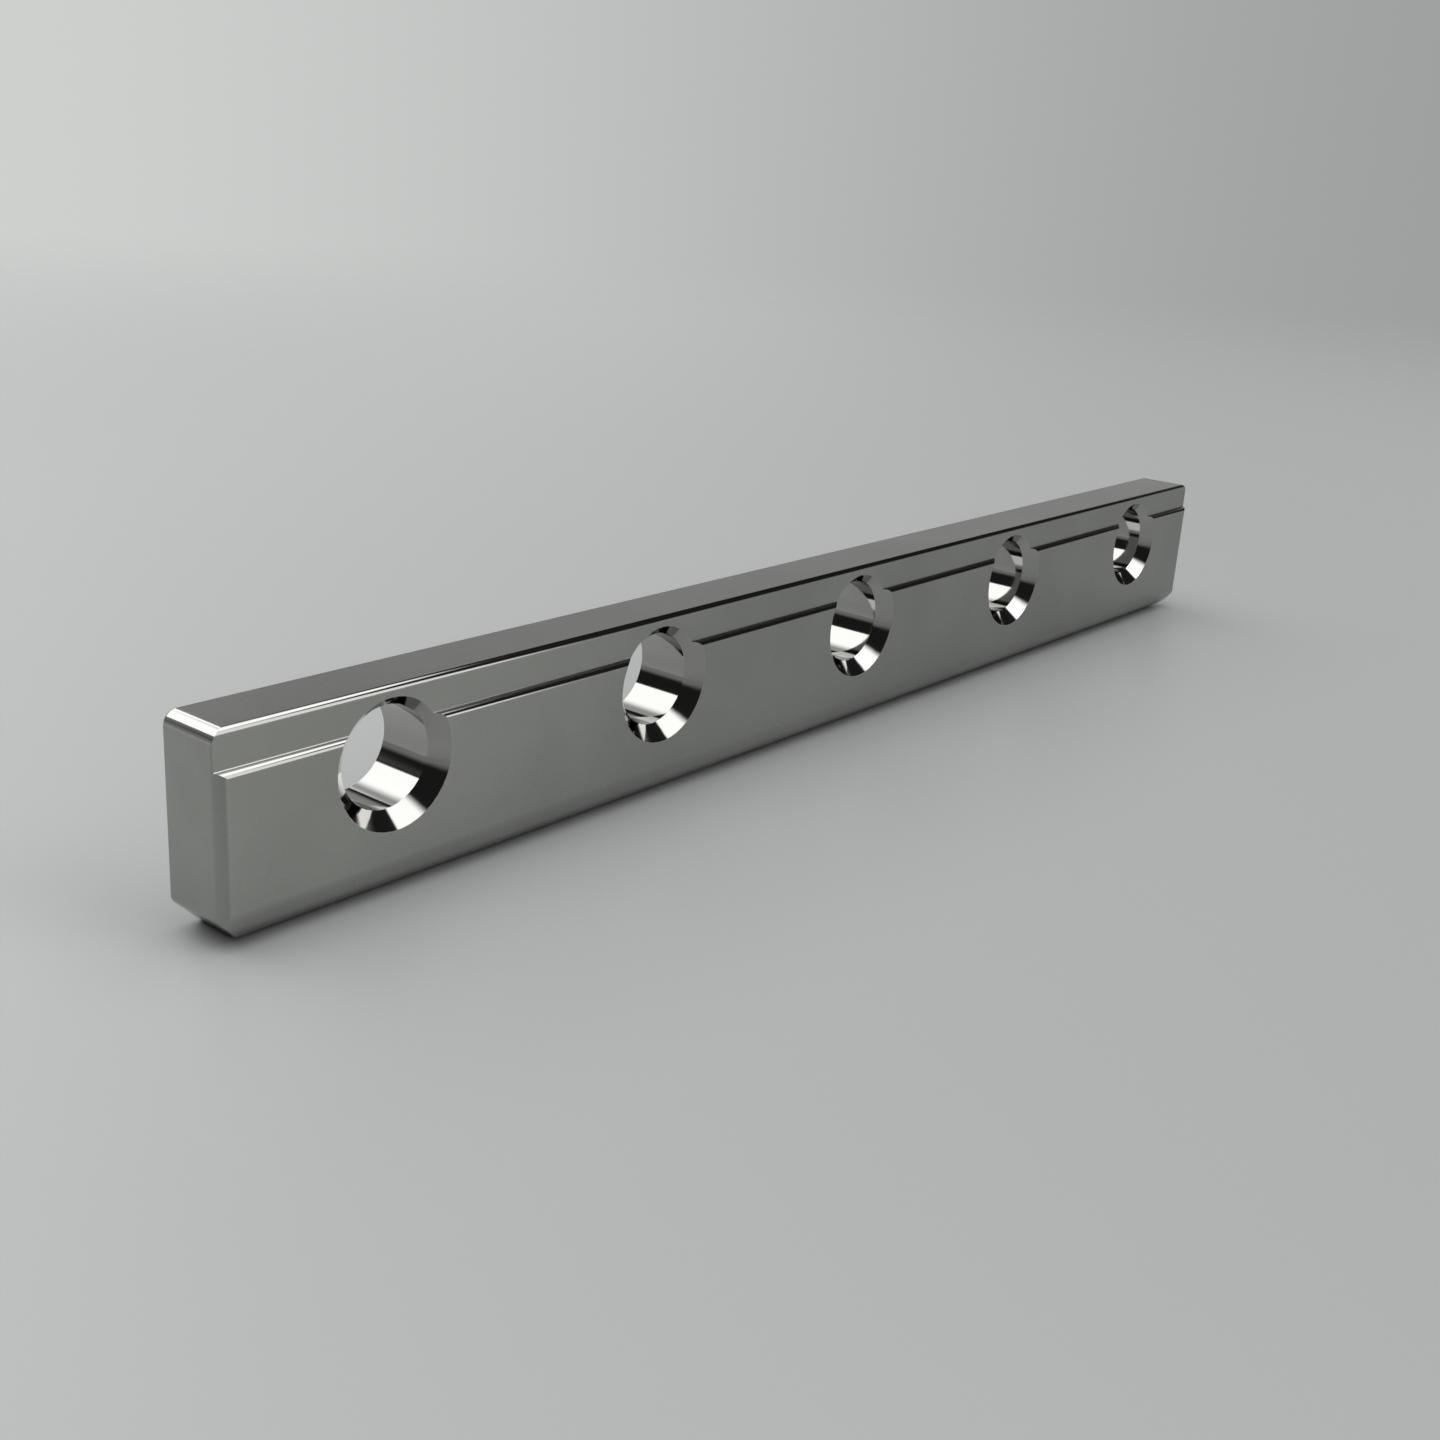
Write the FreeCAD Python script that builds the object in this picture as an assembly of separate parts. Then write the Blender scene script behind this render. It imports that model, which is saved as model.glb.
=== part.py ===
import FreeCAD, Part
import math
import os

# An aluminium clamping strip, machined from one flat bar, that stands on its long edge. The
# length runs along X, the thickness along Y with the worked face towards -Y, and the height
# along Z. The origin is the middle of the footprint. All sizes are in millimetres.

# The bar
length = 200.0
thickness = 8.5
height = 22.0

# The shallow relief along the top of the worked face. It ends at the bottom in a soft step: a
# round lip outside, next to no flat, and a tight cove inside.
reliefHeight = 4.0
lipRadius = 0.6
ledgeFlat = 0.05
coveRadius = 0.1

# The row of screw holes, countersunk in the worked face
holeCount = 5
holePitch = 40.0
holeDrop = 7.7
rowShift = 0.5
boreDiameter = 11.0
sinkDiameter = 14.5
sinkAngle = 90.0

# The ends: round at the top, cut off at 45 degrees at the bottom
endRadius = 1.5
endChamfer = 3.15
chamferRadius = 1.0

# The long and upright edges of the worked face
footRadius = 3.9
topRadius = 0.6
uprightRadius = 1.1

# The rounding that breaks the rim of the back face
backRound = 0.4

# How far each cutting tool and each profile runs past the metal
runOut = 1.0

front = -thickness / 2
back = thickness / 2
recess = front + lipRadius + ledgeFlat + coveRadius
ledge = height - reliefHeight
endX = length / 2


def vec(x, y, z):
    return FreeCAD.Vector(x, y, z)


def toward(start, end):
    """The direction from one point of a profile to another, with length 1."""
    across = end[0] - start[0]
    up = end[1] - start[1]
    reach = math.hypot(across, up)
    return across / reach, up / reach


def along(start, direction, distance):
    return start[0] + direction[0] * distance, start[1] + direction[1] * distance


def roundedCorner(before, corner, after, radius):
    """Where the arc of a rounded corner starts, passes and ends; a sharp corner has one point."""
    if radius == 0:
        return corner, corner, corner
    first = toward(corner, before)
    second = toward(corner, after)
    half = math.acos(first[0] * second[0] + first[1] * second[1]) / 2
    inward = toward((0, 0), (first[0] + second[0], first[1] + second[1]))
    run = radius / math.tan(half)
    nearest = radius / math.sin(half) - radius
    return along(corner, first, run), along(corner, inward, nearest), along(corner, second, run)


def profile(corners, place):
    """A closed flat face from corners of (across, up, radius), set in space by place(across, up)."""
    count = len(corners)
    arcs = []
    for i in range(count):
        before = corners[i - 1][:2]
        across, up, radius = corners[i]
        after = corners[(i + 1) % count][:2]
        arcs.append(roundedCorner(before, (across, up), after, radius))
    edges = []
    for i in range(count):
        start, middle, end = arcs[i]
        following = arcs[(i + 1) % count][0]
        if start != end:
            edges.append(Part.Arc(place(*start), place(*middle), place(*end)).toShape())
        edges.append(Part.makeLine(place(*end), place(*following)))
    return Part.Face(Part.Wire(edges))


def sideForm():
    """The bar seen from the front, with round top corners and cut bottom corners."""
    footX = endX - endChamfer
    corners = [
        (-footX, 0, chamferRadius),
        (footX, 0, chamferRadius),
        (endX, endChamfer, chamferRadius),
        (endX, height, endRadius),
        (-endX, height, endRadius),
        (-endX, endChamfer, chamferRadius),
    ]
    face = profile(corners, lambda x, z: vec(x, front - runOut, z))
    return face.extrude(vec(0, thickness + runOut, 0))


def crossForm():
    """The bar seen from one end, with the foot, the ledge and the top edge of the worked face."""
    corners = [
        (front, 0, footRadius),
        (back + runOut, 0, 0),
        (back + runOut, height, 0),
        (recess, height, topRadius),
        (recess, ledge, coveRadius),
        (front, ledge, lipRadius),
    ]
    face = profile(corners, lambda y, z: vec(-endX - runOut, y, z))
    return face.extrude(vec(length + 2 * runOut, 0, 0))


def planForm():
    """The bar seen from above, with its two upright edges at the worked face rounded."""
    corners = [
        (-endX, front, uprightRadius),
        (endX, front, uprightRadius),
        (endX, back + runOut, 0),
        (-endX, back + runOut, 0),
    ]
    face = profile(corners, lambda x, y: vec(x, y, -runOut))
    return face.extrude(vec(0, 0, height + 2 * runOut))


def isAt(value, target):
    return abs(value - target) < 1e-4


def backRim(shape):
    """The edges round the back face."""
    return [edge for edge in shape.Edges if all(isAt(corner.Y, back) for corner in edge.Vertexes)]


def screwHole(x):
    """A bore through the bar with a countersink in the worked face."""
    start = vec(x, front - runOut, height - holeDrop)
    slope = math.tan(math.radians(sinkAngle / 2))
    sinkDepth = (sinkDiameter - boreDiameter) / 2 / slope
    mouth = sinkDiameter / 2 + slope * runOut
    bore = Part.makeCylinder(boreDiameter / 2, thickness + 2 * runOut, start, vec(0, 1, 0))
    cone = Part.makeCone(mouth, boreDiameter / 2, runOut + sinkDepth, start, vec(0, 1, 0))
    return bore.fuse(cone)


def clampingStrip():
    body = sideForm()
    body = body.makeFillet(backRound, backRim(body))
    body = body.common(crossForm()).common(planForm())
    firstX = rowShift - (holeCount - 1) * holePitch / 2
    for i in range(holeCount):
        body = body.cut(screwHole(firstX + i * holePitch))
    return body.removeSplitter()


os.makedirs("parts", exist_ok=True)
strip = clampingStrip()
strip.exportStep("parts/clamping_strip.step")
print("solids", len(strip.Solids), "valid", strip.isValid(), "volume", round(strip.Volume, 1))
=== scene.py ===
# Looks for the aluminium clamping strip: satin faces, with polished edges and holes in a lighter
# colour that is a painted highlight.
import bpy
from math import radians
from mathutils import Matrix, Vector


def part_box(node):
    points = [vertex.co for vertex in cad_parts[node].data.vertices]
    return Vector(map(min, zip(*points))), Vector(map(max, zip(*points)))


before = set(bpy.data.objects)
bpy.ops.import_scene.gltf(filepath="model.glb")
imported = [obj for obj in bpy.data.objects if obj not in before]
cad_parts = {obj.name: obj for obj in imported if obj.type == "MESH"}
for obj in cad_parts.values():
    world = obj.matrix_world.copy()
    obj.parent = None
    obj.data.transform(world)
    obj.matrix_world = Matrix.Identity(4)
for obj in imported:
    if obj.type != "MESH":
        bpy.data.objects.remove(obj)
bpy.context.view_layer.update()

low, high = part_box("clamping_strip")
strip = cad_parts["clamping_strip"]


# a wire is one output in a node tree, and sums written with wires add the nodes they need

def plug(tree, socket, value):
    if isinstance(value, Wire):
        tree.links.new(value.socket, socket)
    else:
        socket.default_value = value


class Wire:
    def __init__(self, tree, socket=None):
        self.tree = tree
        self.socket = socket

    def node(self, kind, settings=None, inputs=None, out=0):
        made = self.tree.nodes.new(kind)
        for name, value in (settings or {}).items():
            setattr(made, name, value)
        for name, value in (inputs or {}).items():
            plug(self.tree, made.inputs[name], value)
        return Wire(self.tree, made.outputs[out] if made.outputs else None)

    def math(self, operation, *values):
        return self.node("ShaderNodeMath", {"operation": operation}, dict(enumerate(values)))

    def colour(self, value):
        made = self.node("ShaderNodeRGB")
        made.socket.default_value = (*value, 1)
        return made

    def mixed(self, other, factor):
        # self where factor is 0, other where it is 1, as colours
        inputs = {0: factor, 6: self, 7: other}
        return self.node("ShaderNodeMix", {"data_type": "RGBA"}, inputs, out=2)

    def step(self, start, end):
        # 0 below start, 1 above end, smooth between
        inputs = {0: self, 1: start, 2: end, 3: 0.0, 4: 1.0}
        return self.node("ShaderNodeMapRange", {"interpolation_type": "SMOOTHSTEP"}, inputs)

    def between(self, start, end, soft):
        # 1 from start to end, 0 outside, with each border twice as wide as soft
        return self.step(start - soft, start + soft) * (1 - self.step(end - soft, end + soft))

    def axes(self):
        split = self.tree.nodes.new("ShaderNodeSeparateXYZ")
        plug(self.tree, split.inputs[0], self)
        return [Wire(self.tree, output) for output in split.outputs]

    def __add__(self, other): return self.math("ADD", self, other)
    def __radd__(self, other): return self.math("ADD", other, self)
    def __sub__(self, other): return self.math("SUBTRACT", self, other)
    def __rsub__(self, other): return self.math("SUBTRACT", other, self)
    def __mul__(self, other): return self.math("MULTIPLY", self, other)
    def __rmul__(self, other): return self.math("MULTIPLY", other, self)
    def __truediv__(self, other): return self.math("DIVIDE", self, other)
    def __rtruediv__(self, other): return self.math("DIVIDE", other, self)


def emptyTree(owner):
    owner.use_nodes = True
    owner.node_tree.nodes.clear()
    return Wire(owner.node_tree)


# the metal

metal = {
    "facePale": (0.340, 0.343, 0.325),
    "faceDark": (0.312, 0.316, 0.298),
    "faceRoughness": 0.26,
    # the polished walls and rounds are painted lighter than the faces: a painted highlight
    "polishAndHighlight": (0.39, 0.39, 0.375),
    "brightRoughness": 0.07,
    "mottleSize": 0.016,
    "mottleDetail": 3.0,
    "mottleRoughness": 0.55,
    "mottleRange": (0.35, 0.65),
    "grainSize": 0.00022,
    "grainDetail": 2.0,
    "grainShine": 0.06,  # how far the grain moves the roughness of the faces
    "toolRings": 0.314 / 0.00021,  # waves for a ring every 0.21 mm down a hole
    "ringWander": 0.4,
    "ringDepth": 0.02,  # as a share of the grain's height
    "grainHeight": 0.000004,
    "bumpStrength": 0.5,
    "roundStarts": (0.03, 0.20),  # upward part of the normal where a round turns bright
    "roundEnds": (0.985, 0.998),  # and where it has turned into a flat top
}
holes = {
    "pitch": 0.04,
    "shift": 0.0005,
    "drop": 0.0077,
    "boreRadius": 0.0055,
    "sinkRadius": 0.00725,
    "rim": (-0.00006, -0.00002),  # the bright wall starts just inside the face
}


def holeMask(at):
    # 1 on the walls of the holes and their countersinks
    x, y, z = at.axes()
    half = holes["pitch"] / 2
    across = at.math("WRAP", x - holes["shift"], half, -half)
    rise = z - (high.z - holes["drop"])
    radius = at.math("SQRT", across * across + rise * rise)
    depth = y - low.y
    wall = at.math("MAXIMUM", holes["sinkRadius"] - depth, holes["boreRadius"])
    return (wall - radius).step(*holes["rim"])


def roundMask(normal):
    # 1 on the rounds that face upwards, along the top, over the ends and on the ledge, which take the
    # polish and a painted highlight
    up = normal.axes()[2]
    return up.step(*metal["roundStarts"]) * (1 - up.step(*metal["roundEnds"]))


def stripMetal():
    material = bpy.data.materials.new("satinAluminium")
    base = emptyTree(material)
    at = base.node("ShaderNodeTexCoord", out=3)
    normal = base.node("ShaderNodeTexCoord", out=1)

    # polished hole walls and upward rounds: low roughness for their real polish, and a lighter colour
    # as a painted highlight
    polishAndHighlight = base.math("MAXIMUM", holeMask(at), roundMask(normal))
    mottle = base.node("ShaderNodeTexNoise", {}, {
        "Vector": at, "Scale": 1 / metal["mottleSize"],
        "Detail": metal["mottleDetail"], "Roughness": metal["mottleRoughness"]})
    grain = base.node("ShaderNodeTexNoise", {}, {
        "Vector": at, "Scale": 1 / metal["grainSize"], "Detail": metal["grainDetail"]})
    face = base.colour(metal["facePale"]).mixed(base.colour(metal["faceDark"]),
                                                mottle.step(*metal["mottleRange"]))
    # painted highlight: the lighter colour on the polished parts
    colour = face.mixed(base.colour(metal["polishAndHighlight"]), polishAndHighlight)
    roughness = (metal["faceRoughness"] + (grain - 0.5) * metal["grainShine"]) * (1 - polishAndHighlight) \
        + metal["brightRoughness"] * polishAndHighlight
    rings = base.node("ShaderNodeTexWave", {"bands_direction": "Y"}, {
        "Vector": at, "Scale": metal["toolRings"], "Distortion": metal["ringWander"]})
    height = grain * (1 - polishAndHighlight) + rings * polishAndHighlight * metal["ringDepth"]
    bump = base.node("ShaderNodeBump", {}, {
        "Height": height, "Distance": metal["grainHeight"], "Strength": metal["bumpStrength"]})
    shader = base.node("ShaderNodeBsdfPrincipled", {}, {
        "Base Color": colour, "Metallic": 1.0, "Roughness": roughness, "Normal": bump})
    base.node("ShaderNodeOutputMaterial", {}, {"Surface": shader})
    return material


strip.material_slots[0].material = stripMetal()
print("metal on the strip")


# the table, which fades into the backdrop for a soft horizon

table = {
    "reach": 4.0,
    # painted light: the table is painted darker in front of the strip as shade, and paler behind and
    # left of it as light
    "paintedShadeColour": (0.292, 0.302, 0.297),
    "paintedLightColour": (0.370, 0.381, 0.375),
    "paintedLightTowards": (-0.45, 0.8),  # the table turns paler this way, behind and left of the strip
    "paintedLightSpan": (-0.09, 0.17),  # metres that way
    "fades": (0.22, 0.95),  # metres from the strip
    "roughness": 0.42,
}


def tableMaterial():
    material = bpy.data.materials.new("paleTable")
    base = emptyTree(material)
    x, y = base.node("ShaderNodeTexCoord", out=3).axes()[:2]
    lightX, lightY = table["paintedLightTowards"]
    # painted shade in front of the strip and painted light behind and left of it
    paintedLight = (y * lightY + x * lightX).step(*table["paintedLightSpan"])
    colour = base.colour(table["paintedShadeColour"]).mixed(base.colour(table["paintedLightColour"]), paintedLight)
    away = base.math("SQRT", x * x + y * y).step(*table["fades"])
    shader = base.node("ShaderNodeBsdfPrincipled", {}, {
        "Base Color": colour, "Roughness": table["roughness"]})
    clear = base.node("ShaderNodeBsdfTransparent")
    surface = base.node("ShaderNodeMixShader", {}, {0: away, 1: shader, 2: clear})
    base.node("ShaderNodeOutputMaterial", {}, {"Surface": surface})
    return material


def paleTable():
    reach = table["reach"]
    corners = [(-reach, -reach, 0), (reach, -reach, 0), (reach, reach, 0), (-reach, reach, 0)]
    mesh = bpy.data.meshes.new("table")
    mesh.from_pydata(corners, [], [(0, 1, 2, 3)])
    mesh.materials.append(tableMaterial())
    piece = bpy.data.objects.new("table", mesh)
    bpy.context.collection.objects.link(piece)
    piece.location.z = low.z


paleTable()
print("table")


# the light: a wide softbox overhead, a soft panel in front and a dim wall behind, in a dark room.
# Overhead places are given as how far they spread each way for a height of 1, turns in degrees
# from X, and rises as the upward part of the direction.

room = {
    "dark": 0.02,
    "boxLight": 2.5,
    "boxX": (-1.0, 0.82),
    "boxY": (-1.7, 2.0),
    "boxSoft": 0.05,
    "standingX": (-0.2, 0.1),  # somebody stands in the light at the front left
    "standingY": (-0.65, -0.4),
    "wornX": (0.05, 0.5),  # the box is dimmer at the back right
    "wornY": (0.35, 1.35),
    "wornSoft": 0.15,
    "wornLoss": 0.75,
    "horizonLight": 0.30,
    "horizonEnds": (0.05, 0.2),
    "panelLight": 1.6,
    "panelTurn": (-80.0, -47.0),
    "panelTurnSoft": 0.04,
    "panelRise": (-0.1, 0.72),
    "panelRiseSoft": 0.03,
    "wallLight": 0.40,
    "wallTurn": (-2.0, 125.0),
    "wallTurnSoft": 0.15,
    "wallRise": (-0.1, 0.44),
    "wallRiseSoft": 0.06,
}
# painted light: the backdrop is painted paler to the left and darker to the right, like the unevenly
# lit far table
backdrop = {
    "right": (0.335, 0.348, 0.342),
    "left": (0.620, 0.640, 0.622),
    "turn": (12.0, 66.0),
}


def inRadians(angles):
    return [radians(angle) for angle in angles]


def lightLevel(base, x, y, z, turn):
    up = base.math("MAXIMUM", z, 0.001)  # kept off 0, for the division
    overX = x / up
    overY = y / up
    box = overX.between(*room["boxX"], room["boxSoft"]) * overY.between(*room["boxY"], room["boxSoft"])
    standing = (1 - overY.step(*room["standingY"])) * (1 - overX.step(*room["standingX"]))
    worn = overY.between(*room["wornY"], room["wornSoft"]) * overX.step(*room["wornX"])
    inside = box * (1 - standing) * (1 - worn * room["wornLoss"])
    horizon = 1 - z.step(*room["horizonEnds"])
    panel = turn.between(*inRadians(room["panelTurn"]), room["panelTurnSoft"]) \
        * z.between(*room["panelRise"], room["panelRiseSoft"])
    wall = turn.between(*inRadians(room["wallTurn"]), room["wallTurnSoft"]) \
        * z.between(*room["wallRise"], room["wallRiseSoft"])
    return room["dark"] + inside * room["boxLight"] + horizon * room["horizonLight"] * (1 - wall) \
        + panel * room["panelLight"] + wall * room["wallLight"]


def studioLight():
    world = bpy.data.worlds.new("studio")
    bpy.context.scene.world = world
    base = emptyTree(world)
    x, y, z = base.node("ShaderNodeTexCoord", out=0).axes()
    turn = base.math("ARCTAN2", y, x)
    level = lightLevel(base, x, y, z, turn)
    light = base.node("ShaderNodeBackground", {}, {"Color": (1, 1, 1, 1), "Strength": level})
    # painted light: paler towards the left, darker towards the right
    leftward = turn.step(*inRadians(backdrop["turn"]))
    glow = base.colour(backdrop["right"]).mixed(base.colour(backdrop["left"]), leftward)
    seen = base.node("ShaderNodeBackground", {}, {"Color": glow, "Strength": 1.0})
    camera = base.node("ShaderNodeLightPath", out=0)
    mixed = base.node("ShaderNodeMixShader", {}, {0: camera, 1: light, 2: seen})
    base.node("ShaderNodeOutputWorld", {}, {"Surface": mixed})


studioLight()
print("light")


# the camera, close in and low, off the left end of the strip

view = {
    "place": (-0.18234, -0.12536, 0.07398),
    "turn": (71.126, -3.545, -50.531),
    "lens": 42.369,
    "sensor": 36.0,
    "clip": (0.005, 30.0),
}


def closeCamera():
    data = bpy.data.cameras.new("camera")
    data.lens = view["lens"]
    data.sensor_width = view["sensor"]
    data.clip_start, data.clip_end = view["clip"]
    camera = bpy.data.objects.new("camera", data)
    camera.location = view["place"]
    camera.rotation_euler = inRadians(view["turn"])
    bpy.context.collection.objects.link(camera)
    bpy.context.scene.camera = camera


closeCamera()
bpy.context.scene.view_settings.view_transform = "Standard"
print("camera")
